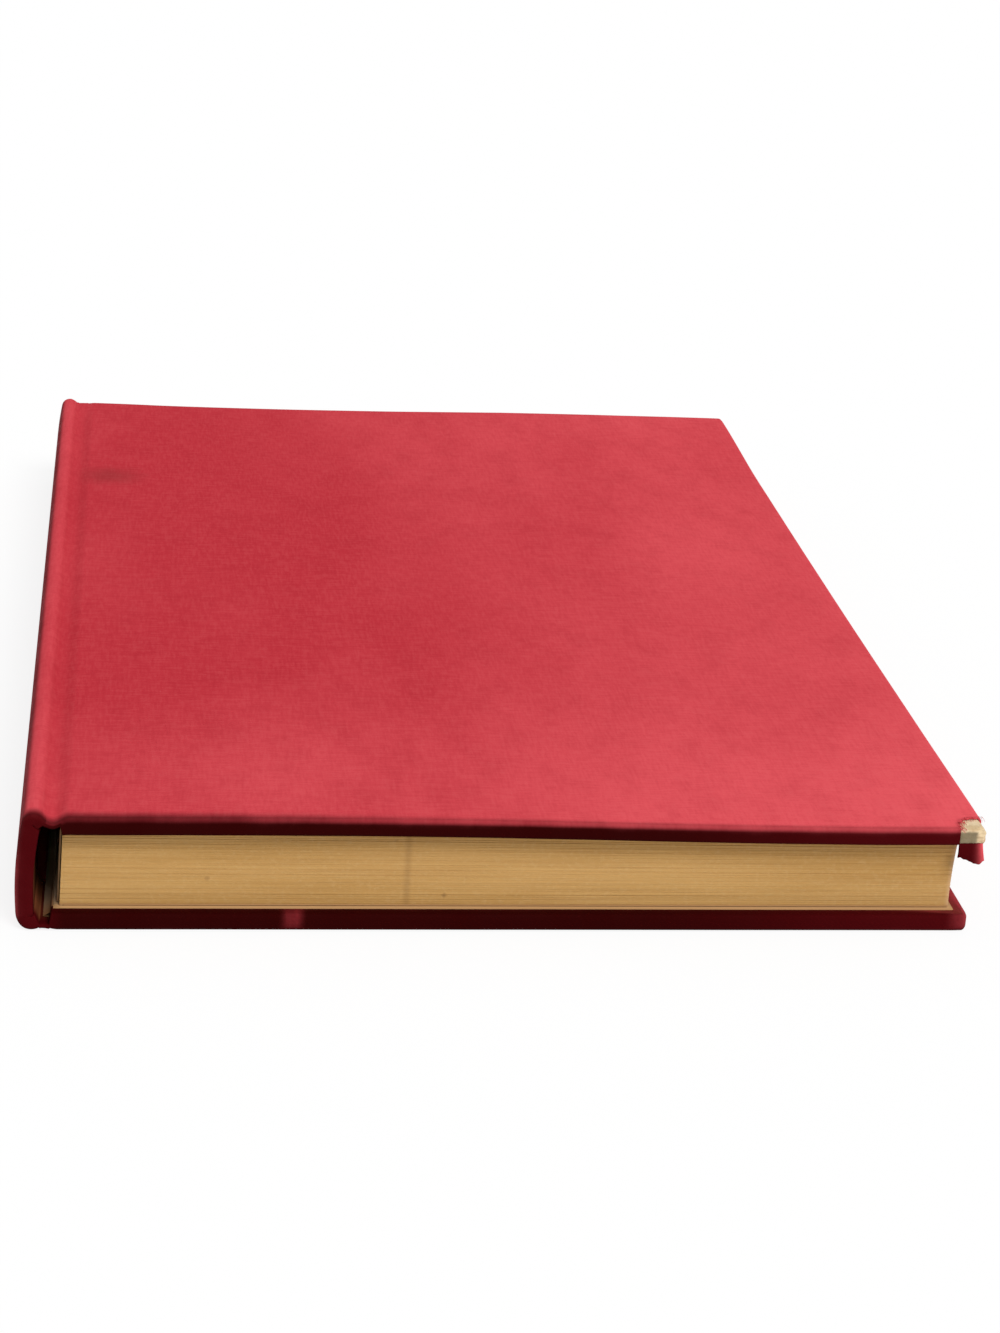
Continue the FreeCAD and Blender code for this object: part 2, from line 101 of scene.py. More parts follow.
# Places read from the frame
hinges = {joint["name"].split("_")[0]: Vector(joint["pos_m"]) for joint in frame["joints"]}
board_low, board_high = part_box("back_board")
leaves_low, leaves_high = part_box("text_block")
front_fly_low, front_fly_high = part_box("front_flyleaf")
back_fly_low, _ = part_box("back_flyleaf")
TAIL = board_low[1] - CLOTH
HEAD = board_high[1] + CLOTH
COVER_HEIGHT = HEAD - TAIL
LEAVES_TAIL = leaves_low[1]
LEAVES_HEAD = leaves_high[1]
FACE_Z = {"front": hinges["front"].z - HINGE_OFFSET["front"],
          "back": hinges["back"].z + HINGE_OFFSET["back"]}
TILT = {"front": math.atan(SWELL / PAGE_WIDTH), "back": 0.0}
UP = {"front": 1, "back": -1}
BODY = {"front": "front_cover", "back": "back_cover"}

# Shapes of the cloth
SEAM = {"front": 1.0 * MM, "back": 0.3 * MM}  # from the groove to where the cloths meet
SEAM_LAP = 0.15 * MM
EDGE_ROUND = 0.75 * MM
CORNER = 1.55 * MM
INNER_ROUND = 0.6 * MM
JOINT_END = 2.6 * MM
JOINT_COLUMNS = 22
FACE_COLUMNS = 90
FACE_ROWS = 150


def smooth(value):
    value = min(1.0, max(0.0, value))
    return value * value * (3 - 2 * value)


def evenly(start, end, count):
    """Values from start to end in this many even steps."""
    return [start + (end - start) * step / count for step in range(count + 1)]


def cover_point(side, x, y, z):
    """Place of a cover's own point: x from its groove, y from the tail, z inwards."""
    if side == "front":
        tilt = TILT[side]
        return Vector((
            hinges[side].x + x * math.cos(tilt) - z * math.sin(tilt), TAIL + y,
            FACE_Z[side] - x * math.sin(tilt) - z * math.cos(tilt)))
    return Vector((hinges[side].x + x, TAIL + y, FACE_Z[side] + z))


def wobble(point, size, seed):
    """Smooth noise from -1 to 1 that changes over the given length."""
    return noise.noise(Vector((point.x / size, point.y / size, point.z / size + seed)))


class MeshMaker:
    """Gathers points and faces, then makes an object whose mesh keeps its rest place."""

    def __init__(self, name):
        self.name = name
        self.points = []
        self.faces = []
        self.rest = []
        self.soil_and_painted_light = []
        self.dust_and_painted_bounce = []

    def point(self, place, soil_and_painted_light=0.0, dust_and_painted_bounce=0.0, rest=None):
        """Adds a point. Its rest place, which the materials read, may be an unrolled one."""
        self.points.append(Vector(place))
        self.rest.append(Vector(place if rest is None else rest))
        self.soil_and_painted_light.append(soil_and_painted_light)
        self.dust_and_painted_bounce.append(dust_and_painted_bounce)
        return len(self.points) - 1

    def row(self, places, soils_and_painted_light=None, rests=None):
        soils_and_painted_light = soils_and_painted_light or [0.0] * len(places)
        rests = rests or places
        return [self.point(place, soil_and_painted_light, 0.0, rest)
                for place, soil_and_painted_light, rest in zip(places, soils_and_painted_light, rests)]

    def join(self, first, second):
        """Quads between two rows of the same length."""
        for index in range(len(first) - 1):
            corners = [first[index], first[index + 1], second[index + 1], second[index]]
            kept = [c for at, c in enumerate(corners) if c not in corners[:at]]
            if len(kept) > 2:
                self.faces.append(kept)

    def join_all(self, rows):
        """Quads between each row and the next."""
        for first, second in zip(rows, rows[1:]):
            self.join(first, second)

    def make(self, material, slot, smooth_shading=True):
        mesh = bpy.data.meshes.new(self.name)
        mesh.from_pydata([tuple(point) for point in self.points], [], self.faces)
        rest = mesh.attributes.new("rest", "FLOAT_VECTOR", "POINT")
        rest.data.foreach_set("vector", [value for point in self.rest for value in point])
        for name, values in (("soil_and_painted_light", self.soil_and_painted_light), ("dust_and_painted_bounce", self.dust_and_painted_bounce)):
            layer = mesh.attributes.new(name, "FLOAT", "POINT")
            layer.data.foreach_set("value", values)
        mesh.validate()
        shape = bmesh.new()
        shape.from_mesh(mesh)
        bmesh.ops.recalc_face_normals(shape, faces=shape.faces)
        shape.to_mesh(mesh)
        shape.free()
        mesh.update()
        mesh.materials.append(material)
        for polygon in mesh.polygons:
            polygon.use_smooth = smooth_shading
        piece = bpy.data.objects.new(self.name, mesh)
        bpy.context.scene.collection.objects.link(piece)
        return piece


# Node helpers

def colour(red, green, blue):
    """Linear colour with alpha from 0-255 display values."""
    def linear(value):
        value /= 255
        return value / 12.92 if value <= 0.04045 else ((value + 0.055) / 1.055) ** 2.4
    return (linear(red), linear(green), linear(blue), 1.0)


class NodeMaker:
    """Adds nodes to a tree. Each input is a plain value or another node's output."""

    def __init__(self, tree):
        self.tree = tree

    def add(self, kind, inputs=None, **settings):
        node = self.tree.nodes.new(kind)
        for key, value in settings.items():
            setattr(node, key, value)
        for key, value in (inputs or {}).items():
            if isinstance(value, bpy.types.NodeSocket):
                self.tree.links.new(value, node.inputs[key])
            else:
                node.inputs[key].default_value = value
        return node

    def layer(self, name, output="Fac"):
        """Reads a layer of the mesh."""
        return self.add("ShaderNodeAttribute", attribute_name=name).outputs[output]

    def rest_place(self):
        return self.layer("rest", "Vector")

    def object_place(self):
        return self.add("ShaderNodeTexCoord").outputs["Object"]

    def axes(self, vector):
        return tuple(self.add("ShaderNodeSeparateXYZ", {"Vector": vector}).outputs)

    def speckle(self, vector, scale, detail=3.0, roughness=0.5, stretch=(1, 1, 1)):
        mapping = self.add("ShaderNodeMapping", {"Vector": vector, "Scale": stretch})
        texture = self.add("ShaderNodeTexNoise", {
            "Vector": mapping.outputs["Vector"], "Scale": scale, "Detail": detail,
            "Roughness": roughness})
        return texture.outputs["Fac"]

    def span(self, value, low, high, new_low=0.0, new_high=1.0):
        """Maps low..high to new_low..new_high with soft ends."""
        node = self.add("ShaderNodeMapRange", {
            "Value": value, "From Min": low, "From Max": high, "To Min": new_low,
            "To Max": new_high}, interpolation_type="SMOOTHSTEP")
        return node.outputs["Result"]

    def work(self, operation, first, second=0.0):
        node = self.add("ShaderNodeMath", {0: first, 1: second}, operation=operation)
        return node.outputs["Value"]

    def plus(self, first, second):
        return self.work("ADD", first, second)

    def minus(self, first, second):
        return self.work("SUBTRACT", first, second)

    def times(self, first, second):
        return self.work("MULTIPLY", first, second)

    def higher(self, first, second):
        return self.work("MAXIMUM", first, second)

    def vector_work(self, operation, first, second=(0, 0, 0), output="Vector"):
        node = self.add("ShaderNodeVectorMath", {0: first, 1: second}, operation=operation)
        return node.outputs[output]

    def blend(self, factor, first, second):
        """Mixes two colours, each a node's output or three 0-255 display values."""
        first, second = (value if isinstance(value, bpy.types.NodeSocket) else colour(*value)
                         for value in (first, second))
        node = self.add("ShaderNodeMix", {0: factor, 6: first, 7: second}, data_type="RGBA")
        return node.outputs[2]

    def tint(self, base, shade, value, low=0.0, high=1.0, amount=1.0):
        """Mixes a shade into the base as the value goes from low to high."""
        return self.blend(self.span(value, low, high, 0.0, amount), base, shade)


class Look(NodeMaker):
    """A material under way."""

    def __init__(self, name, roughness):
        self.material = bpy.data.materials.new(name)
        self.material.use_nodes = True
        super().__init__(self.material.node_tree)
        self.shader = self.tree.nodes["Principled BSDF"]
        self.shader.inputs["Roughness"].default_value = roughness

    def give(self, value, name):
        self.tree.links.new(value, self.shader.inputs[name])

    def done(self, base, height, distance, strength):
        """Gives the shader its colour and its relief, and returns the material."""
        relief = self.add("ShaderNodeBump", {
            "Height": height, "Distance": distance, "Strength": strength})
        self.give(base, "Base Color")
        self.give(relief.outputs["Normal"], "Normal")
        return self.material


# Materials

CLOTH_PITCH = 0.42 * MM
MULL_PITCH = 0.9 * MM
SMUDGE_AT = cover_point("front", 6.5 * MM, 169.0 * MM, 0.0)
SPECK_AT, SPECK_HEIGHT = leaves_low[0] + 56.5 * MM, leaves_low[2] + 1.5 * MM
MARK_AT = leaves_low[0] + 50.9 * MM
BROWNED_FROM, BROWNED_TO = 6.0 * MM, -1.5 * MM     # from a leaf's edge inwards


def cloth_material():
    """Faded red book cloth: plain weave, slubs, mottled dye, painted light across the face and
    ridge, and edges darkened by dirt and painted shade.
    """
    look = Look("book_cloth", 0.82)
    look.shader.inputs["Specular IOR Level"].default_value = 0.03
    place = look.rest_place()
    x, y, _ = look.axes(place)
    groove = hinges["front"].x

    # Slow gradient, partly sun fading and partly painted light: lighter towards the fore-edge and
    # the tail, a little the head, with a painted highlight on the ridge
    fade_and_light = look.span(x, groove + 22 * MM, cad_high.x, 0.0, 0.54)
    for axis, start, end, amount in ((y, TAIL + 62 * MM, TAIL + 5 * MM, 0.38),
                                     (y, HEAD - 38 * MM, HEAD, 0.09),
                                     (x, groove - 1 * MM, groove - 3 * MM, 0.35)):
        fade_and_light = look.plus(fade_and_light, look.span(axis, start, end, 0.0, amount))
    cloud = look.speckle(place, 42.0, 3.0, 0.5, stretch=(1.0, 0.42, 1.0))
    fade_and_light = look.plus(fade_and_light, look.times(look.minus(cloud, 0.5), 0.7))
    fade_and_light_share = look.add("ShaderNodeClamp", {"Value": fade_and_light}).outputs["Result"]
    base = look.blend(fade_and_light_share, (190, 49, 60), (230, 87, 95))

    # Mottled dye, fine threads lighter or darker than their neighbours
    mottle = look.speckle(place, 170.0, 4.0, 0.6, stretch=(1.0, 0.5, 1.0))
    base = look.tint(base, (172, 44, 54), mottle, 0.4, 0.75, 0.22)
    threads = look.plus(look.speckle(place, 1100.0, 2.0, 0.6, stretch=(0.3, 2.0, 1.0)),
                        look.speckle(place, 1100.0, 2.0, 0.6, stretch=(2.0, 0.3, 1.0)))
    base = look.tint(base, (238, 122, 122), threads, 0.85, 1.35, 0.10)
    base = look.tint(base, (140, 26, 36), threads, 1.05, 0.62, 0.12)

    # A soft dark smudge near the head of the front cover
    offset = look.vector_work("SUBTRACT", place, SMUDGE_AT)
    squeezed = look.vector_work("MULTIPLY", offset, (0.75, 0.75, 1.0))
    reach = look.vector_work("LENGTH", squeezed, output="Value")
    ragged = look.plus(reach, look.times(look.speckle(place, 260.0, 4.0, 0.7), 5.0 * MM))
    base = look.tint(base, (136, 46, 46), ragged, 9.0 * MM, 2.5 * MM, 0.5)

    # Edges darkened by dirt and by painted shade, the tail walls most
    ragged_dirt_and_shade = look.plus(look.layer("soil_and_painted_light"), look.times(look.minus(mottle, 0.5), 0.2))
    redder = look.higher(look.span(x, groove + 2 * MM, groove - 3 * MM),
                         look.span(x, groove + 80 * MM, cad_high.x))
    grime_and_shade = look.blend(redder, (44, 1, 1), (70, 4, 8))
    base = look.tint(base, grime_and_shade, ragged_dirt_and_shade, 0.03, 0.97)
    # Tan on turned-in cloth: dust, and painted bounce light in the hollow spine and under the
    # leaves
    base = look.tint(base, (186, 132, 76), look.layer("dust_and_painted_bounce"), amount=0.9)

    # Plain weave: bumps where warp and weft cross
    warp, weft = (look.work("SINE", look.times(axis, math.pi / CLOTH_PITCH)) for axis in (x, y))
    height = look.plus(look.times(look.times(warp, weft), 0.35), threads)
    height = look.plus(height, look.times(mottle, 0.8))
    look.give(look.span(mottle, 0.3, 0.8, 0.74, 0.9), "Roughness")
    return look.done(base, height, 0.06 * MM, 0.55)


def leaf_edge_material():
    """Browned paper edges with fine leaf lines and a few specks."""
    look = Look("leaf_edges", 0.9)
    place = look.object_place()
    lines = look.speckle(place, 900.0, 3.0, 0.6, stretch=(0.03, 0.03, 6.0))
    broad = look.speckle(place, 60.0, 4.0, 0.6, stretch=(0.25, 0.25, 3.0))
    grain = look.speckle(place, 1500.0, 3.0, 0.6)
    specks = look.speckle(place, 420.0, 1.0, 0.4)
    base = look.tint((182, 139, 76), (196, 154, 92), broad, 0.3, 0.72)
    base = look.tint(base, (166, 122, 68), lines, 0.42, 0.7, 0.35)
    base = look.tint(base, (206, 172, 120), grain, 0.45, 0.75, 0.2)
    base = look.tint(base, (110, 74, 40), specks, 0.78, 0.84, 0.25)

    # Painted highlight on the fore-edge, a speck and a faint upright mark on the tail
    base = look.tint(base, (222, 184, 150), look.layer("soil_and_painted_light"), amount=0.75)
    x, y, z = look.axes(place)
    tail = look.span(y, LEAVES_TAIL + MM, LEAVES_TAIL + 0.5 * MM)
    for at, height, size, amount in ((SPECK_AT, SPECK_HEIGHT, 0.7 * MM, 0.55),
                                     (MARK_AT, None, 0.9 * MM, 0.22)):
        away = look.work("ABSOLUTE", look.minus(x, at))
        if height is not None:
            away = look.plus(away, look.work("ABSOLUTE", look.minus(z, height)))
        spot = look.times(tail, look.span(away, size, 0.0, 0.0, amount))
        base = look.blend(spot, base, (104, 70, 36))
    return look.done(base, look.plus(lines, grain), 0.05 * MM, 0.7)


def paper_material(name, keeps_rest=True):
    """Toned cream endpaper with faint foxing and fibres, also for a mesh without a rest layer."""
    look = Look(name, 0.88)
    place = look.rest_place() if keeps_rest else look.object_place()
    broad = look.speckle(place, 18.0, 4.0, 0.6)
    fibres = look.speckle(place, 900.0, 3.0, 0.7)
    foxing = look.speckle(place, 95.0, 2.0, 0.45)
    base = look.tint((233, 219, 188), (220, 200, 162), broad, 0.3, 0.75)
    base = look.tint(base, (186, 142, 92), foxing, 0.66, 0.8, 0.4)
    base = look.tint(base, (240, 230, 206), fibres, 0.4, 0.8, 0.2)

    # Browned by air towards the three open edges
    x, y, _ = look.axes(place)
    brown = look.span(y, LEAVES_TAIL + BROWNED_FROM, LEAVES_TAIL + BROWNED_TO)
    for axis, edge in ((y, LEAVES_HEAD), (x, leaves_high[0])):
        brown = look.higher(brown, look.span(axis, edge - BROWNED_FROM, edge - BROWNED_TO))
    base = look.tint(base, (176, 130, 78), brown, amount=0.95)

    # Painted shade in the joint, darker towards the tail
    base = look.blend(look.layer("soil_and_painted_light"), base, (112, 70, 32))
    return look.done(base, fibres, 0.03 * MM, 0.5)


def board_material():
    """Grey-cream pulp board: layered, fibrous, stained, with painted shade on the bare tail wall
    of the front board.
    """
    look = Look("pulp_board", 0.92)
    place = look.object_place()
    layers = look.speckle(place, 500.0, 4.0, 0.7, stretch=(0.4, 0.4, 4.0))
    fibres = look.speckle(place, 1400.0, 4.0, 0.7)
    stain = look.speckle(place, 420.0, 3.0, 0.6)
    base = look.tint((232, 210, 172), (206, 176, 132), layers, 0.3, 0.7)
    base = look.tint(base, (176, 128, 96), stain, 0.45, 0.75, 0.5)
    base = look.tint(base, (242, 228, 200), fibres, 0.45, 0.8, 0.35)
    # Painted shade on the front board's tail wall
    base = look.tint(base, (116, 104, 78), look.layer("soil_and_painted_light"), amount=0.9)
    return look.done(base, look.plus(layers, fibres), 0.12 * MM, 0.9)


def mull_material():
    """Starched open-weave cloth, drawn as crossing threads."""
    look = Look("mull", 0.95)
    across, along, up = (look.work("SINE", look.times(axis, 2 * math.pi / MULL_PITCH))
                         for axis in look.axes(look.object_place()))
    threads = look.higher(look.higher(across, along), up)
    base = look.tint((74, 50, 24), (132, 98, 56), threads, 0.2, 0.8)
    return look.done(base, threads, 0.08 * MM, 0.8)


def lining_material():
    """Brown wrapping paper glued down the back."""
    look = Look("lining_paper", 0.9)
    place = look.object_place()
    laid = look.speckle(place, 300.0, 3.0, 0.6, stretch=(1.0, 4.0, 1.0))
    blotch = look.speckle(place, 60.0, 4.0, 0.6)
    base = look.tint((122, 92, 58), (146, 112, 74), laid, 0.3, 0.7)
    base = look.tint(base, (92, 64, 38), blotch, 0.5, 0.8, 0.5)
    return look.done(base, laid, 0.04 * MM, 0.6)


# Cloth over a cover

def rim_profile(rise, inner_round=INNER_ROUND):
    """Way round an edge: pairs of distance from the very edge and depth from the outer face."""
    outer = min(EDGE_ROUND, rise * 0.5)
    inner = min(inner_round, rise - outer)
    turns = [math.pi / 2 * step / 6 for step in range(1, 7)]
    way = [(outer * (1 - math.sin(a)), outer * (1 - math.cos(a))) for a in turns]
    way.append((0.0, (outer + rise - inner) / 2))
    turns = [math.pi / 2 * step / 4 for step in range(5)]
    way += [(inner * (1 - math.cos(a)), rise - inner * (1 - math.sin(a))) for a in turns]
    return way


TURN_IN_SHARES = (0.03, 0.07, 0.12, 0.2, 1.0)
SCUFF_AT = 36.5 * MM       # pale scuff on the back cover's tail wall


def edge_dirt_and_shade(depth, rise, amount, start=0.0):
    """How dark an edge is: it grows down its wall from what the outer face has."""
    return start + (amount - start) * smooth(depth / rise * 2.6)


def face_soil(side, x, y):
    """Dirt of a cover's outer face towards its tail, wider near the groove."""
    width = (3.8 - 2.6 * smooth(x / (110 * MM))) * MM
    amount = 0.9 if side == "back" else 0.75 - 0.3 * smooth(x / (70 * MM))
    return amount * (1 - smooth((y - EDGE_ROUND) / width)) ** 1.5


def end_dirt_and_shade(side, x, sign):
    """Darkness of the wall at the tail or head of a cover: dirt, with painted shade that keeps the
    tail wall darker than the head's.
    """
    if sign > 0:
        return 0.6
    if side == "back":
        scuff = 0.42 * math.exp(-((x - SCUFF_AT) / (1.2 * MM)) ** 2)
        return 1.0 - scuff - 0.3 * smooth((x - COVER_WIDTH + 5 * MM) / (4 * MM))
    return 1.0


def path_lengths(way):
    """Length along the cloth from the outer face's last point to each point of the way."""
    lengths, last = [], (EDGE_ROUND, 0.0)
    for reach, depth in way:
        before = lengths[-1] if lengths else 0.0
        lengths.append(before + math.hypot(reach - last[0], depth - last[1]))
        last = (reach, depth)
    return lengths


def wrap_edge(maker, first, place, out, rise, limit, soil_and_painted_light, inner_dirt_and_shade=0.2, dust_and_painted_bounce=0.0,
              inner_round=INNER_ROUND):
    """Takes a line of cloth round an edge of the book and lays it on the inner face.

    place(reach, depth) gives a point at a distance from the very edge. The rim's own
    points and the turned-in ones follow the first, which is a point of the outer face.
    """
    way = rim_profile(rise, inner_round)
    lengths = path_lengths(way)
    start, rest = way[-1][0], maker.rest[first]
    line = [first]
    for (reach, depth), length in zip(way, lengths):
        line.append(maker.point(place(reach, depth),
                                edge_dirt_and_shade(depth, rise, soil_and_painted_light, maker.soil_and_painted_light[first]), 0.0,
                                rest + out * length))
    for share in TURN_IN_SHARES:
        reach = start + max(limit - start, 0.0) * share
        deep = smooth(share / TURN_IN_SHARES[-2])
        line.append(maker.point(place(reach, rise), soil_and_painted_light * (1 - deep) + inner_dirt_and_shade * deep,
                                dust_and_painted_bounce * deep, rest + out * (lengths[-1] + reach - start)))
    return line


def hollow_of(side):
    """Radius of the hollow arc that runs level at the groove."""
    radius = RIDGE_RADIUS[side]
    run = RIDGE_REACH[side] - radius
    drop = radius - RIDGE_RISE[side] - GROOVE_DEPTH[side]
    return (run * run + drop * drop - radius * radius) / (2 * (radius - drop))


def cover_outer(side, x):
    """Depth of the cloth's outer face below the cover's face."""
    if x <= 0:
        radius = hollow_of(side)
        return GROOVE_DEPTH[side] - (radius - math.sqrt(radius * radius - x * x))
    return GROOVE_DEPTH[side] * (1 - smooth((x - 0.05 * MM) / (2.3 * MM)))


def turned_in_rise(side, x):
    """Height from the outer face to the turned-in cloth's inner face."""
    step = smooth((x - 1.0 * MM) / (0.35 * MM))
    return 2 * CLOTH * (1 - step) + (STACK - cover_outer(side, x)) * step


def groove_sink(side, x, y):
    """Extra depth of the front groove: pressed in at the tail, nearly flush at the head."""
    if side == "back":
        return 0.0
    near_tail = 1 - smooth(y / (16 * MM))
    near_head = 1 - smooth((COVER_HEIGHT - y) / (12 * MM))
    middle = -0.25 * MM + 0.10 * MM * wobble(Vector((0, y, 0)), 40 * MM, 4.0)
    sink = middle + 0.45 * MM * near_tail - 0.35 * MM * near_head
    across = 1 - smooth(abs(x) / (2.2 * MM))
    return sink * across


def bow(side, x, y):
    """Warp of a cover, outwards positive, none at the groove."""
    away = smooth(x / (18 * MM))
    spot = Vector((x, y, 0.0 if side == "front" else 1.0))
    slow = 0.07 * MM * wobble(spot, 50 * MM, 3.0) + 0.02 * MM * wobble(spot, 12 * MM, 7.0)
    if side == "back":
        return -abs(slow) * away * 0.5
    share, up = x / COVER_WIDTH, y / COVER_HEIGHT
    near_edge = 0.40 * MM * math.sin(math.pi * min(1.0, share * 1.25)) ** 2 * (1 - up)
    near_corner = 0.20 * MM * smooth((share - 0.85) / 0.15) * (1 - smooth(up / 0.2))
    far_corner = 0.85 * MM * smooth(share) * smooth((up - 0.8) / 0.2)
    far_dip = 0.40 * MM * math.sin(math.pi * min(1.0, share / 0.65)) * smooth((up - 0.4) / 0.6)
    side_dip = 0.40 * MM * smooth(share) * math.sin(math.pi * up) ** 2
    return away * (0.05 * MM + near_edge + near_corner + far_corner - far_dip - side_dip + slow)


def rounded(side, x, y):
    """Moves a cover's place near its corner so that the corner is round in plan."""
    near_tail = y < COVER_HEIGHT / 2
    if side == "front" and near_tail:
        return x, y
    end = y if near_tail else COVER_HEIGHT - y
    across, along = (x - COVER_WIDTH) / CORNER + 1, 1 - end / CORNER
    if across <= 0 or along <= 0:
        return x, y
    x = COVER_WIDTH - CORNER * (1 - across * math.sqrt(1 - along * along / 2))
    end = CORNER * (1 - along * math.sqrt(1 - across * across / 2))
    return x, end if near_tail else COVER_HEIGHT - end


def cover_skin(side, x, y, depth):
    """Place at a depth below the outer face of a cover's cloth, also over the groove."""
    if x > 0:
        x, y = rounded(side, x, y)
        lowered = cover_outer(side, x) + groove_sink(side, x, y) + depth - bow(side, x, y)
        return cover_point(side, x, y, lowered)
    radius = hollow_of(side)
    a = math.asin(-x / radius)
    far = radius + depth
    level = FACE_Z[side] - UP[side] * (GROOVE_DEPTH[side] + groove_sink(side, x, y) - radius)
    return Vector((hinges[side].x - far * math.sin(a), TAIL + y,
                   level - UP[side] * far * math.cos(a)))


def column_places(side):
    """Columns of a cover's cloth, close together at the groove."""
    joint = evenly(-SEAM[side], JOINT_END, JOINT_COLUMNS)
    return joint[:-1] + evenly(JOINT_END, COVER_WIDTH - EDGE_ROUND, FACE_COLUMNS)


def row_shares():
    """Shares of the way from tail to head, closer together at the ends."""
    return [share - 0.12 * math.sin(2 * math.pi * share) / (2 * math.pi)
            for share in evenly(0.0, 1.0, FACE_ROWS)]


def make_cover_cloth(side):
    maker = MeshMaker(f"{side}_cover_cloth")
    columns, shares = column_places(side), row_shares()
    start, end = EDGE_ROUND, COVER_HEIGHT - EDGE_ROUND
    rows = [start + (end - start) * share for share in shares]

    apart = Vector((0, 0, 0.4 if side == "back" else 0.0))
    # Turned-in cloth is darker inside: dirt and painted shade, strongest on the back cover under
    # the leaves
    fore_soil, inner_dirt_and_shade, inner_dust_and_bounce = (0.6, 0.75, 0.12) if side == "back" else (0.45, 0.15, 0.05)
    grid = []
    for x in columns:
        places = [cover_skin(side, x, y, 0.0) for y in rows]
        grid.append(maker.row(places, [face_soil(side, x, y) for y in rows],
                              [place + apart for place in places]))
    maker.join_all(grid)

    # Tail and head
    ends = {}
    for sign in (-1, 1):
        previous = None
        for x, column in zip(columns, grid):
            # Turned-in cloth near the groove gets painted shade
            groove_shade = 0.95 * (1 - smooth((x - 1.5 * MM) / (2 * MM)))
            line = wrap_edge(
                maker, column[0 if sign < 0 else -1],
                lambda reach, depth: cover_skin(
                    side, x, reach if sign < 0 else COVER_HEIGHT - reach, depth),
                Vector((0, sign, 0)), turned_in_rise(side, x), min(TURN_IN, COVER_WIDTH - x),
                end_dirt_and_shade(side, x, sign), max(groove_shade, inner_dirt_and_shade), inner_dust_and_bounce)
            if previous:
                maker.join(previous, line)
            previous = line
        ends[sign] = previous

    # Fore-edge
    way = rim_profile(STACK)
    lengths = path_lengths(way)
    fore_lines = []
    for y, first in zip(rows, grid[-1]):
        limit = max(min(TURN_IN, y, COVER_HEIGHT - y), way[-1][0])
        line = wrap_edge(
            maker, first, lambda reach, depth: cover_skin(side, COVER_WIDTH - reach, y, depth),
            Vector((1, 0, 0)), STACK, limit, fore_soil, inner_dirt_and_shade, inner_dust_and_bounce)
        if fore_lines:
            maker.join(fore_lines[-1], line)
        fore_lines.append(line)

    # Corners: the rim's way turned about the corner of the outer face
    for sign in (-1, 1):
        centre_y = EDGE_ROUND if sign < 0 else COVER_HEIGHT - EDGE_ROUND
        fore = fore_lines[0 if sign < 0 else -1]
        count = 1 + len(way)
        previous = fore[:count]
        for step in range(1, 9):
            a = math.pi / 2 * step / 8
            line = [fore[0]]
            for (reach, depth), length in zip(way, lengths):
                out = EDGE_ROUND - reach
                x = COVER_WIDTH - EDGE_ROUND + out * math.cos(a)
                y = centre_y + sign * out * math.sin(a)
                soil_and_painted_light = fore_soil + (end_dirt_and_shade(side, x, sign) - fore_soil) * step / 8
                line.append(maker.point(
                    cover_skin(side, x, y, depth),
                    edge_dirt_and_shade(depth, STACK, soil_and_painted_light, maker.soil_and_painted_light[fore[0]]), 0.0,
                    maker.rest[fore[0]] + Vector((math.cos(a), sign * math.sin(a), 0)) * length))
            if step == 8:
                line = ends[sign][:count]
            maker.join(previous, line)
            previous = line
    return maker


# Cloth over the spine

def spine_chain():
    """Arcs from the front groove round the back of the spine to the rear groove.

    Each is centre, radius, first angle, turn and bend; bend is 1 where the centre lies
    inside the spine and -1 where it lies outside.
    """
    ridge, hollow = {}, {}
    for side in ("front", "back"):
        radius = RIDGE_RADIUS[side]
        ridge[side] = Vector((hinges[side].x - RIDGE_REACH[side] + radius,
                              FACE_Z[side] + UP[side] * (RIDGE_RISE[side] - radius)))
        hollow[side] = Vector((hinges[side].x,
                               FACE_Z[side] + UP[side] * (hollow_of(side) - GROOVE_DEPTH[side])))
    first = PANEL_RADIUS - RIDGE_RADIUS["front"]
    second = PANEL_RADIUS - RIDGE_RADIUS["back"]
    way = ridge["back"] - ridge["front"]
    along = (way.length ** 2 + first ** 2 - second ** 2) / (2 * way.length)
    across = math.sqrt(first ** 2 - along ** 2)
    way.normalize()
    normal = Vector((-way.y, way.x))
    if normal.x < 0:
        normal = -normal
    panel = ridge["front"] + way * along + normal * across

    def angle(start, end):
        return math.atan2(end.y - start.y, end.x - start.x)

    def arc(centre, radius, start, end, bend):
        turn = (end - start + math.pi) % (2 * math.pi) - math.pi
        return centre, radius, start, turn, bend

    front, back = ridge["front"], ridge["back"]
    seam = {side: math.asin((SEAM[side] - SEAM_LAP) / hollow_of(side)) for side in hollow}
    return [
        arc(hollow["front"], hollow_of("front"), -math.pi / 2 - seam["front"],
            angle(hollow["front"], front), -1),
        arc(front, RIDGE_RADIUS["front"], angle(front, hollow["front"]), angle(panel, front), 1),
        arc(panel, PANEL_RADIUS, angle(panel, front), angle(panel, back), 1),
        arc(back, RIDGE_RADIUS["back"], angle(panel, back), angle(back, hollow["back"]), 1),
        arc(hollow["back"], hollow_of("back"), angle(hollow["back"], back),
            math.pi / 2 + seam["back"], -1),
    ]


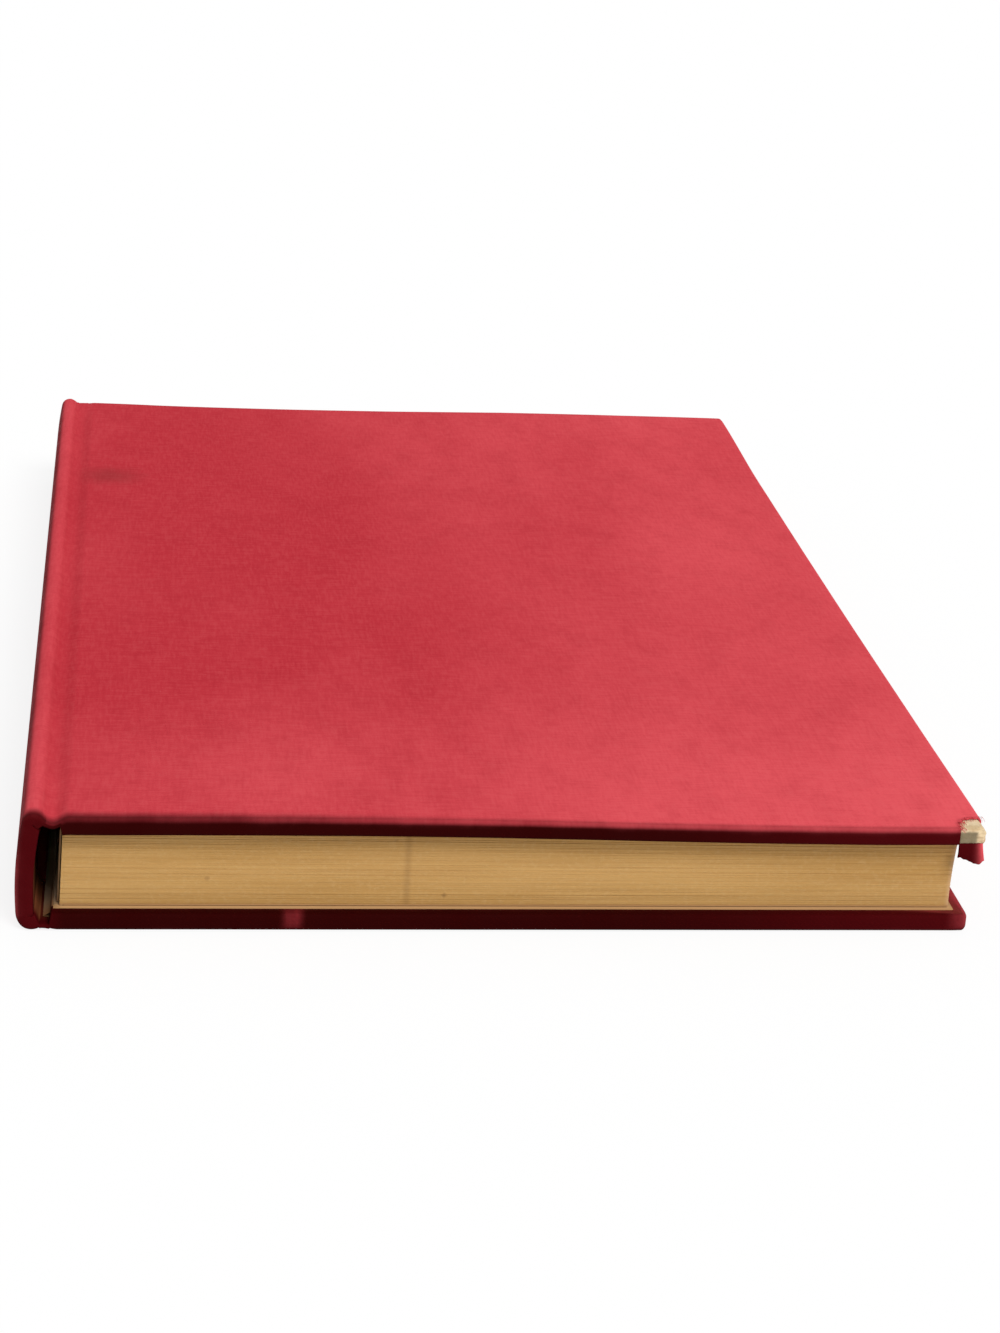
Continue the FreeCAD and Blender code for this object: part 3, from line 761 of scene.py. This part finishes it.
def spine_stations():
    """Outer point, inward direction, wall height and darkness (dirt and painted shade) of each
    line along the spine.
    """
    stations = []
    for number, (arc, count) in enumerate(zip(spine_chain(), (10, 18, 26, 18, 10))):
        centre, radius, start, turn, bend = arc
        for step in range(0 if number == 0 else 1, count + 1):
            share = step / count
            rise, soil_and_painted_light = 2 * CLOTH, 0.0
            near_card = share if number < 2 else 1 - share
            # The spine's back and the outer flanks of its ridges are darker: dirt and painted
            # shade on the side away from the light
            if number == 2:
                rise, soil_and_painted_light = rise + CARD, 0.65
            else:
                ridge = RIDGE_RADIUS["front" if number < 2 else "back"]
                filled = smooth((near_card - 0.3) / 0.3) if number in (0, 4) else 1.0
                rise += (ridge - 2 * CLOTH - 0.05 * MM) * filled
            if number in (1, 3):
                soil_and_painted_light = 0.65 * smooth((near_card - 0.5) / 0.4)
            a = start + turn * share
            ray = Vector((math.cos(a), math.sin(a)))
            outer = centre + ray * radius
            lapped = number == 0 and step < 2 or number == 4 and step > count - 2
            outer -= ray * bend * (0.03 * MM if lapped else 0.0)
            stations.append((outer, -ray * bend, rise, soil_and_painted_light))
    return stations


def spine_end(x, upper, sign):
    """Where the spine's cloth ends at this x: rounded at its back, raised at the head."""
    side = "front" if upper else "back"
    back_of_spine = min(hinges[name].x - RIDGE_REACH[name] for name in hinges)
    inside = min(CAP_CORNER, max(0.0, x - back_of_spine))
    rounding = CAP_CORNER - math.sqrt(CAP_CORNER ** 2 - (CAP_CORNER - inside) ** 2)
    if sign < 0:
        return rounding
    foot = hinges[side].x - CAP_SLOPE_GAP
    rise = CAP_RISE * smooth((foot - x) / CAP_SLOPE_RUN)
    return COVER_HEIGHT + rise - rounding


def make_spine_cloth():
    maker = MeshMaker("spine_cloth_piece")
    middle = (FACE_Z["front"] + FACE_Z["back"]) / 2
    grid, ends = [], {-1: None, 1: None}
    stations = spine_stations()
    first, last, unrolled = stations[0][0], stations[0][0], 0.0

    for outer, inward, rise, panel_dirt_and_shade in stations:
        upper = outer.y > middle
        side = "front" if upper else "back"
        unrolled += (outer - last).length
        last = outer

        def place(y, depth):
            spot = outer + inward * depth
            sink = groove_sink(side, outer.x - hinges[side].x, y) * UP[side]
            return Vector((spot.x, TAIL + y, spot.y - sink))

        start = spine_end(outer.x, upper, -1) + EDGE_ROUND
        end = spine_end(outer.x, upper, 1) - EDGE_ROUND
        rows = [start + (end - start) * share for share in row_shares()]
        column = maker.row(
            [place(y, 0.0) for y in rows],
            [max(panel_dirt_and_shade, 1.15 * face_soil(side, 0.0, y)) for y in rows],
            [Vector((first.x - unrolled, TAIL + y, first.y)) for y in rows])
        if grid:
            maker.join(grid[-1], column)
        grid.append(column)
        # The tail end is darker than the head, and the cloth turned in inside the hollow is dark:
        # dirt and painted shade, with a little dust and painted bounce light
        for sign, soil_and_painted_light in ((-1, 0.95), (1, 0.5)):
            line = wrap_edge(
                maker, column[0 if sign < 0 else -1],
                lambda reach, depth: place(
                    spine_end((outer + inward * depth).x, upper, sign) - sign * reach, depth),
                Vector((0, sign, 0)), rise, TURN_IN, soil_and_painted_light, 0.9, 0.3, 0.25 * MM)
            if ends[sign]:
                maker.join(ends[sign], line)
            ends[sign] = line
    return maker


# Leaves

LEAF_COUNT = 112
SECTION_LEAVES = 8
BACK_TOP = front_fly_low[0]
BACK_BOTTOM = back_fly_low[0]
FORE_HOLLOW = 0.15 * MM


def leaf_level(x, share):
    """Height of the leaf at this share of the block, at x."""
    fore = BACK_BOTTOM + PAGE_WIDTH + (BACK_TOP - BACK_BOTTOM) * share
    height = BLOCK_THICKNESS + SWELL * (fore - x) / PAGE_WIDTH
    return leaves_low[2] + share * height


def leaf_outline(share, across=44, along=60, back_steps=12):
    """Points round a leaf with the direction out of the block at each."""
    back = BACK_BOTTOM + (BACK_TOP - BACK_BOTTOM) * share
    fore = back + PAGE_WIDTH - FORE_HOLLOW * (1 - (2 * share - 1) ** 2)
    spots = [(x, LEAVES_TAIL, 0, -1) for x in evenly(back, fore, across)[:-1]]
    spots += [(fore - 0.7 * MM, LEAVES_TAIL, 0, -1), (fore, LEAVES_TAIL, 0, -1)]
    spots += [(fore, y, 1, 0) for y in evenly(LEAVES_TAIL, LEAVES_HEAD, along)[1:]]
    spots += [(x, LEAVES_HEAD, 0, 1) for x in evenly(fore, back, across)[1:]]
    spots += [(back, y, 0, 0) for y in evenly(LEAVES_HEAD, LEAVES_TAIL, back_steps)[1:-1]]
    return spots


def make_leaves(material):
    """All leaves as one skin, with a small step from each leaf's edge to the next."""
    maker = MeshMaker("leaves")
    random.seed(11)
    rings = []
    for leaf in range(LEAF_COUNT):
        jut = random.uniform(-0.05, 0.0) * MM
        if leaf % SECTION_LEAVES in (0, SECTION_LEAVES - 1):
            jut -= 0.035 * MM
        for share in ((leaf + 0.05) / LEAF_COUNT, (leaf + 0.95) / LEAF_COUNT):
            places, fore_edge_highlight = [], []
            fore = max(spot[0] for spot in leaf_outline(share))
            for x, y, out_x, out_y in leaf_outline(share):
                wave = noise.noise(Vector((x / (9 * MM), y / (9 * MM), leaf * 0.37)))
                drift = noise.noise(Vector((x / (14 * MM), y / (14 * MM), leaf * 0.11)))
                out = jut + 0.03 * MM * (wave - 1)
                lift = 0.018 * MM * drift if 0.02 < share < 0.98 else 0.0
                places.append((x + out_x * out, y + out_y * out, leaf_level(x, share) + lift))
                # The fore-edge and the tail next to it get a painted highlight
                fore_edge_highlight.append(1.0 if out_x else 0.6 * smooth((x - fore + 0.9 * MM) / (0.8 * MM)))
            ring = maker.row(places, fore_edge_highlight)
            ring.append(ring[0])
            if rings:
                maker.join(ring, rings[-1])
            rings.append(ring)
    maker.faces.append(rings[0][:-1][::-1])
    maker.faces.append(rings[-1][:-1])
    piece = maker.make(material, "leaf_edges", smooth_shading=False)
    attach(piece, "text_block")
    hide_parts("text_block")


# Endpapers

def make_pastedown(side, material):
    """Paper pressed over the board and the turned-in cloth, with a soft step between."""
    maker = MeshMaker(f"{side}_pastedown_sheet")
    low_x, high_x = BOARD_START, COVER_WIDTH - PASTEDOWN_MARGIN
    low_y, high_y = PASTEDOWN_MARGIN, COVER_HEIGHT - PASTEDOWN_MARGIN
    columns, rows = evenly(low_x, high_x, 96), evenly(low_y, high_y, 150)
    window = TURN_IN + 0.4 * MM
    flap_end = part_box(f"{side}_mull_flap")[1][0] - hinges[side].x

    def place(x, y, lift):
        """The sheet follows the cover's warp, but is never drawn back into the mull's flap."""
        inside = min(y - window, COVER_HEIGHT - window - y, COVER_WIDTH - window - x)
        sunk = smooth(inside / (1.2 * MM) + 0.5)
        ripple = 0.02 * MM * wobble(Vector((x, y, 0)), 6 * MM, 2.0) * sunk
        depth = STACK + PAPER - CLOTH * sunk - ripple - lift
        warp = bow(side, x, y)
        if warp > 0:
            warp *= smooth((x - flap_end) / (10 * MM))
        return cover_point(side, x, y, depth - warp)

    lines = [maker.row([place(x, y, 0.0) for y in rows]) for x in columns]
    maker.join_all(lines)

    # Cut edge of the paper
    rim = [(x, low_y, line[0]) for x, line in zip(columns, lines)]
    rim += [(high_x, y, index) for y, index in zip(rows[1:], lines[-1][1:])]
    rim += [(x, high_y, line[-1]) for x, line in zip(columns[-2::-1], lines[-2::-1])]
    rim += [(low_x, y, index) for y, index in zip(rows[-2::-1], lines[0][-2::-1])]
    maker.join([index for _, _, index in rim],
               maker.row([place(x, y, PAPER) for x, y, _ in rim]))
    piece = maker.make(material, "endpaper")
    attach(piece, BODY[side])
    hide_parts(f"{side}_pastedown")


def make_joint_paper(side, material):
    """Endpaper in the joint: a strip glued in the groove and a fold down to the flyleaf."""
    leaf_x = BACK_TOP if side == "front" else BACK_BOTTOM
    leaf_z = front_fly_high[2] if side == "front" else back_fly_low[2]
    start = 0.1 * MM
    heights = evenly(LEAVES_TAIL, LEAVES_HEAD, 60)
    # The back joint paper gets painted shade, fading out away from the tail
    joint_shade = 0.9 if side == "back" else 0.0
    soils_and_painted_light = [joint_shade * (1 - smooth((y - LEAVES_TAIL) / (24 * MM))) for y in heights]

    def glued(share, y):
        x = start + (BOARD_START - start) * share
        return cover_skin(side, x, y - TAIL, turned_in_rise(side, x) + 0.1 * MM)

    def fold(share, y):
        foot = Vector((leaf_x + 0.6 * MM, y, leaf_z + UP[side] * 0.05 * MM))
        return foot.lerp(glued(0.0, y), share)

    pieces = []
    for part, place, steps in (("strip", glued, 18), ("fold", fold, 1)):
        maker = MeshMaker(f"{side}_endpaper_{part}")
        lines = [maker.row([place(share, y) for y in heights], soils_and_painted_light)
                 for share in evenly(0.0, 1.0, steps)]
        maker.join_all(lines)
        pieces.append(maker.make(material, "endpaper"))
    strip, folded = pieces
    middle = (LEAVES_TAIL + LEAVES_HEAD) / 2
    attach(strip, BODY[side])
    fold(0.1, middle)
    fold(0.8, middle)
    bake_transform(folded)


# Worn corner of the front cover

WORN_REACH = 4.4 * MM
WORN_LEVEL = 0.95          # the patch is a little longer along the fore-edge


def squarish(across, along):
    """Length of a step, even on a patch between round and square."""
    return (abs(across) ** 3 + abs(along) ** 3) ** (1 / 3)


def bare(x, y):
    """How far inside the worn patch a point lies, as a length; negative where cloth stays."""
    away = squarish(COVER_WIDTH - x, y * WORN_LEVEL)
    ragged = 0.30 * MM * wobble(Vector((x, y, 0)), 0.9 * MM, 5.0)
    ragged += 0.10 * MM * wobble(Vector((x, y, 0)), 0.3 * MM, 6.0)
    return WORN_REACH + ragged - away


def cover_place(side, point):
    """Cover's own x and y of a place in the book's frame."""
    return (point.x - hinges[side].x) / math.cos(TILT[side]), point.y - TAIL


def wear_corner(maker):
    """Splits the front cloth finely near its tail corner and drops what is worn away."""
    shape = bmesh.new()
    soil_and_painted_light = shape.verts.layers.float.new("soil_and_painted_light")
    dust_and_painted_bounce = shape.verts.layers.float.new("dust_and_painted_bounce")
    rest = shape.verts.layers.float_vector.new("rest")
    verts = [shape.verts.new(point) for point in maker.points]
    for index, vert in enumerate(verts):
        vert[soil_and_painted_light] = maker.soil_and_painted_light[index]
        vert[dust_and_painted_bounce] = maker.dust_and_painted_bounce[index]
        vert[rest] = maker.rest[index]
    for face in maker.faces:
        try:
            shape.faces.new([verts[index] for index in face])
        except ValueError:
            continue
    for cuts in (3, 2):
        near = []
        for edge in shape.edges:
            x, y = cover_place("front", (edge.verts[0].co + edge.verts[1].co) / 2)
            if x > COVER_WIDTH - 5.5 * MM and y < 6.0 * MM:
                near.append(edge)
        bmesh.ops.subdivide_edges(shape, edges=near, cuts=cuts, use_grid_fill=True)
    gone = [face for face in shape.faces
            if bare(*cover_place("front", face.calc_center_median())) > 0]
    bmesh.ops.delete(shape, geom=gone, context="FACES")
    bmesh.ops.recalc_face_normals(shape, faces=shape.faces)
    for vert in shape.verts:
        inside = bare(*cover_place("front", vert.co))
        if inside > -1.0 * MM:
            edge = 1 - smooth(-inside / MM)
            vert.co.z += 0.05 * MM * edge * edge
            vert[soil_and_painted_light] = max(vert[soil_and_painted_light], 0.35 * edge)
    torn = [edge for edge in shape.edges if edge.is_boundary
            and bare(*cover_place("front", edge.verts[0].co)) > -0.6 * MM]
    normals = {vert: vert.normal.copy() for edge in torn for vert in edge.verts}
    grown = bmesh.ops.extrude_edge_only(shape, edges=torn)["geom"]
    for vert in (item for item in grown if isinstance(item, bmesh.types.BMVert)):
        near = min(normals, key=lambda other: (other.co - vert.co).length_squared)
        vert.co -= normals[near] * 0.3 * MM
    shape.verts.index_update()
    maker.points = [vert.co.copy() for vert in shape.verts]
    maker.soil_and_painted_light = [vert[soil_and_painted_light] for vert in shape.verts]
    maker.dust_and_painted_bounce = [vert[dust_and_painted_bounce] for vert in shape.verts]
    maker.rest = [vert[rest].copy() for vert in shape.verts]
    maker.faces = [[vert.index for vert in face.verts] for face in shape.faces]
    shape.free()


def make_front_board(material):
    """Front board with a crushed, fibrous corner where the cloth is gone."""
    maker = MeshMaker("front_board_piece")
    rounding = 0.45 * MM
    left, right = BOARD_START, COVER_WIDTH - CLOTH - rounding
    low, high = CLOTH + rounding, COVER_HEIGHT - CLOTH - rounding
    dense = 7 * MM
    fine = evenly(0.0, dense, 44)[:-1]
    columns = evenly(left, right - dense, 16)[:-1]
    columns += [right - dense + step for step in fine] + [right]
    rows = [low + step for step in fine] + evenly(low + dense, high, 16)

    def place(x, y, depth):
        """Near the worn corner the board is rounded off, swollen and frayed."""
        away = math.hypot(x - right, y - low)
        worn = 1 - smooth(away / (4.4 * MM))
        spot = Vector((x, y, depth))
        rough = Vector((wobble(spot, 0.7 * MM, 1.0), wobble(spot, 0.7 * MM, 9.0),
                        wobble(spot, 0.55 * MM, 4.0)))
        fibres = Vector((wobble(spot, 0.26 * MM, 2.0), wobble(spot, 0.26 * MM, 8.0),
                         wobble(spot, 0.22 * MM, 6.0)))
        spot += (rough * 0.17 * MM + fibres * 0.09 * MM) * worn
        crushed = 1 - smooth(away / (1.5 * MM))
        swollen = 1 - smooth(away / (3.0 * MM))
        spot += Vector((0.15 * swollen - 0.1 * crushed, 0.15 * crushed, 0.0)) * MM
        if depth < CLOTH + BOARD / 2:
            spot.z -= 0.16 * MM * worn * (1 - crushed)
        return cover_point("front", spot.x, spot.y, spot.z - bow("front", x, y))

    outer, inner = CLOTH, CLOTH + BOARD
    for depth in (outer, inner):
        grid = [maker.row([place(x, y, depth) for y in rows]) for x in columns]
        maker.join_all(grid)

    # Wall round the board, rounded at the outer face
    loop = [(x, low, 0, -1) for x in columns]
    turns = [math.pi / 2 * step / 10 for step in range(1, 10)]
    loop += [(right, low, math.sin(a), -math.cos(a)) for a in turns]
    loop += [(right, y, 1, 0) for y in rows]
    loop += [(x, high, 0, 1) for x in columns[::-1]]
    turns = [math.pi / 2 * step / 5 for step in range(6)]
    way = [(math.sin(a), outer + rounding * (1 - math.cos(a))) for a in turns]
    way += [(1.0, depth) for depth in evenly(outer + rounding, inner, 8)[1:]]
    way.append((0.0, inner))
    previous = None
    for x, y, out_x, out_y in loop:
        # The tail wall gets painted shade below the outer face
        tail_wall_shade = -out_y * smooth((right - 0.5 * MM - x) / (0.8 * MM))
        line = maker.row([place(x + out_x * out * rounding, y + out_y * out * rounding, depth)
                          for out, depth in way],
                         [tail_wall_shade * smooth((depth - outer) / (0.5 * MM)) for out, depth in way])
        if previous:
            maker.join(previous, line)
        previous = line
    piece = maker.make(material, "board")
    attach(piece, "front_cover")
    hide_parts("front_board")


def make_hanging_cloth(material):
    """Loose end of the cover cloth that hangs under the worn corner."""
    maker = MeshMaker("hanging_cloth")
    sheets = []
    for thickness in (0.0, CLOTH):
        lines = []
        for share in evenly(0.0, 1.0, 36):
            x = COVER_WIDTH - 4.3 * MM + 3.6 * MM * share
            length = (2.35 + 1.05 * smooth(share * 1.15)) * MM
            length -= 0.6 * MM * smooth((share - 0.85) / 0.15)
            length += 0.16 * MM * wobble(Vector((x, 0, 0)), 0.5 * MM, 8.0)
            places = []
            for down in evenly(0.0, 1.0, 16):
                curl = 0.45 * MM * math.sin(math.pi * down * 0.9) * (0.4 + 0.6 * share)
                ripple = 0.10 * MM * wobble(Vector((x, 0, down * MM)), 0.9 * MM, 2.0)
                y = 0.35 * MM - curl + ripple * down + thickness
                spread = 0.5 * MM * share * share * down * down
                depth = STACK - CLOTH + length * down
                places.append(cover_point("front", x + spread, y, depth - bow("front", x, 0)))
            lines.append(maker.row(places, [1.0 - 0.85 * share ** 4] * len(places)))
        maker.join_all(lines)
        sheets.append(lines)
    outer, inner = sheets
    maker.join([line[-1] for line in outer], [line[-1] for line in inner])
    maker.join(outer[0], inner[0])
    maker.join(outer[-1], inner[-1])
    piece = maker.make(material, "cover_cloth")
    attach(piece, "front_cover")


def make_loose_threads(material):
    """Short frayed threads round the bare patch."""
    maker = MeshMaker("loose_threads")
    random.seed(5)
    sides = 5
    for _ in range(34):
        turn = random.uniform(0.0, math.pi / 2)
        reach = WORN_REACH + random.uniform(-0.1, 0.3) * MM
        reach /= squarish(math.cos(turn), math.sin(turn))
        x = COVER_WIDTH - reach * math.cos(turn)
        y = reach * math.sin(turn) / WORN_LEVEL
        heading = turn + random.uniform(-0.8, 0.8)
        length = random.uniform(0.5, 1.3) * MM
        radius = random.uniform(0.03, 0.055) * MM
        rise = random.uniform(0.05, 0.35) * MM
        previous = None
        for share in evenly(0.0, 1.0, 6):
            along = length * share
            place_x = x + along * math.cos(heading) * 0.9
            place_y = y - along * math.sin(heading) * 0.9
            lift = rise * math.sin(math.pi * share) + 0.02 * MM
            ring = []
            for side in range(sides):
                a = 2 * math.pi * side / sides
                ring.append(cover_point(
                    "front", place_x, place_y + radius * math.cos(a),
                    CLOTH * share - lift - bow("front", place_x, max(place_y, 0.0))
                    + radius * math.sin(a)))
            ring = maker.row(ring, [0.35] * sides)
            ring.append(ring[0])
            if previous:
                maker.join(previous, ring)
            previous = ring
    piece = maker.make(material, "cover_cloth")
    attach(piece, "front_cover")


# Light, floor and camera

CAMERA_PLACE = (-55.55 * MM, -504.79 * MM, 189.99 * MM)
CAMERA_YAW = math.radians(-7.588)
CAMERA_PITCH = math.radians(20.447)
CAMERA_ROLL = math.radians(3.367)
FOCAL_PIXELS = 2951.0
PHOTO_HEIGHT = 1333

KEY_FROM = Vector((0.40, -0.75, 1.0))
KEY_LEVEL = 0.55
WORLD_LEVEL = 0.45
FLOOR_GLOW = 0.85
WHITE = (1, 1, 1, 1)


def new_object(name, data):
    made = bpy.data.objects.new(name, data)
    bpy.context.scene.collection.objects.link(made)
    return made


def make_camera():
    data = bpy.data.cameras.new("camera")
    data.sensor_width = 36
    data.lens = FOCAL_PIXELS * data.sensor_width / PHOTO_HEIGHT
    data.clip_start = 0.01
    data.clip_end = 20
    camera = new_object("camera", data)
    turn = (Matrix.Rotation(CAMERA_YAW, 4, "Z")
            @ Matrix.Rotation(math.pi / 2 - CAMERA_PITCH, 4, "X")
            @ Matrix.Rotation(CAMERA_ROLL, 4, "Z"))
    camera.matrix_world = Matrix.Translation(CAMERA_PLACE) @ turn
    bpy.context.scene.camera = camera


def make_floor():
    mesh = bpy.data.meshes.new("floor")
    half = 3.0
    mesh.from_pydata([(-half, -half, 0), (half, -half, 0), (half, half, 0), (-half, half, 0)],
                     [], [(0, 1, 2, 3)])
    floor = new_object("floor", mesh)
    floor.location.z = -0.02 * MM
    look = Look("floor", 1.0)
    look.shader.inputs["Base Color"].default_value = WHITE
    look.shader.inputs["Specular IOR Level"].default_value = 0.0
    glow = look.add("ShaderNodeEmission", {"Color": WHITE, "Strength": 1.0})
    path = look.add("ShaderNodeLightPath")
    share = look.times(path.outputs["Is Camera Ray"], FLOOR_GLOW)
    mixed = look.add("ShaderNodeMixShader", {0: share, 1: look.shader.outputs[0],
                                             2: glow.outputs[0]})
    look.tree.links.new(mixed.outputs[0], look.tree.nodes["Material Output"].inputs["Surface"])
    mesh.materials.append(look.material)


def make_light():
    world = bpy.data.worlds.new("studio")
    bpy.context.scene.world = world
    world.use_nodes = True
    maker = NodeMaker(world.node_tree)
    background = maker.tree.nodes["Background"]
    background.inputs["Color"].default_value = WHITE
    path = maker.add("ShaderNodeLightPath")
    strength = maker.span(path.outputs["Is Camera Ray"], 0.0, 1.0, WORLD_LEVEL, 1.0)
    maker.tree.links.new(strength, background.inputs["Strength"])
    data = bpy.data.lights.new("key", "SUN")
    data.angle = math.radians(28)
    data.energy = KEY_LEVEL * math.pi / KEY_FROM.normalized().z
    lamp = new_object("key", data)
    lamp.rotation_mode = "QUATERNION"
    lamp.rotation_quaternion = (-KEY_FROM).to_track_quat("-Z", "Y")


def dress_nodes(material, *names):
    for name in names:
        node = frame["nodes"][name]
        node.data.materials.clear()
        node.data.materials.append(material)


# The book put together

cloth = cloth_material()
paper = paper_material("endpaper")
board = board_material()
leaf_paper = paper_material("endpaper_leaf", keeps_rest=False)

for cover_side in ("front", "back"):
    cover_maker = make_cover_cloth(cover_side)
    if cover_side == "front":
        wear_corner(cover_maker)
    cover_piece = cover_maker.make(cloth, "cover_cloth")
    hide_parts(f"{cover_side}_cloth")
    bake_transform(cover_piece)

spine_piece = make_spine_cloth().make(cloth, "cover_cloth")
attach(spine_piece, "text_block")
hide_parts("spine_cloth")

make_front_board(board)
make_hanging_cloth(cloth)
make_loose_threads(cloth)
make_leaves(leaf_edge_material())
for cover_side in ("front", "back"):
    make_pastedown(cover_side, paper)
    make_joint_paper(cover_side, paper)

dress_nodes(board, "back_board", "spine_card")
dress_nodes(leaf_paper, "front_flyleaf", "back_flyleaf")
dress_nodes(mull_material(), "spine_mull", "front_mull_flap", "back_mull_flap")
dress_nodes(lining_material(), "spine_lining")

make_camera()
make_floor()
make_light()
bpy.context.scene.view_settings.view_transform = "Standard"
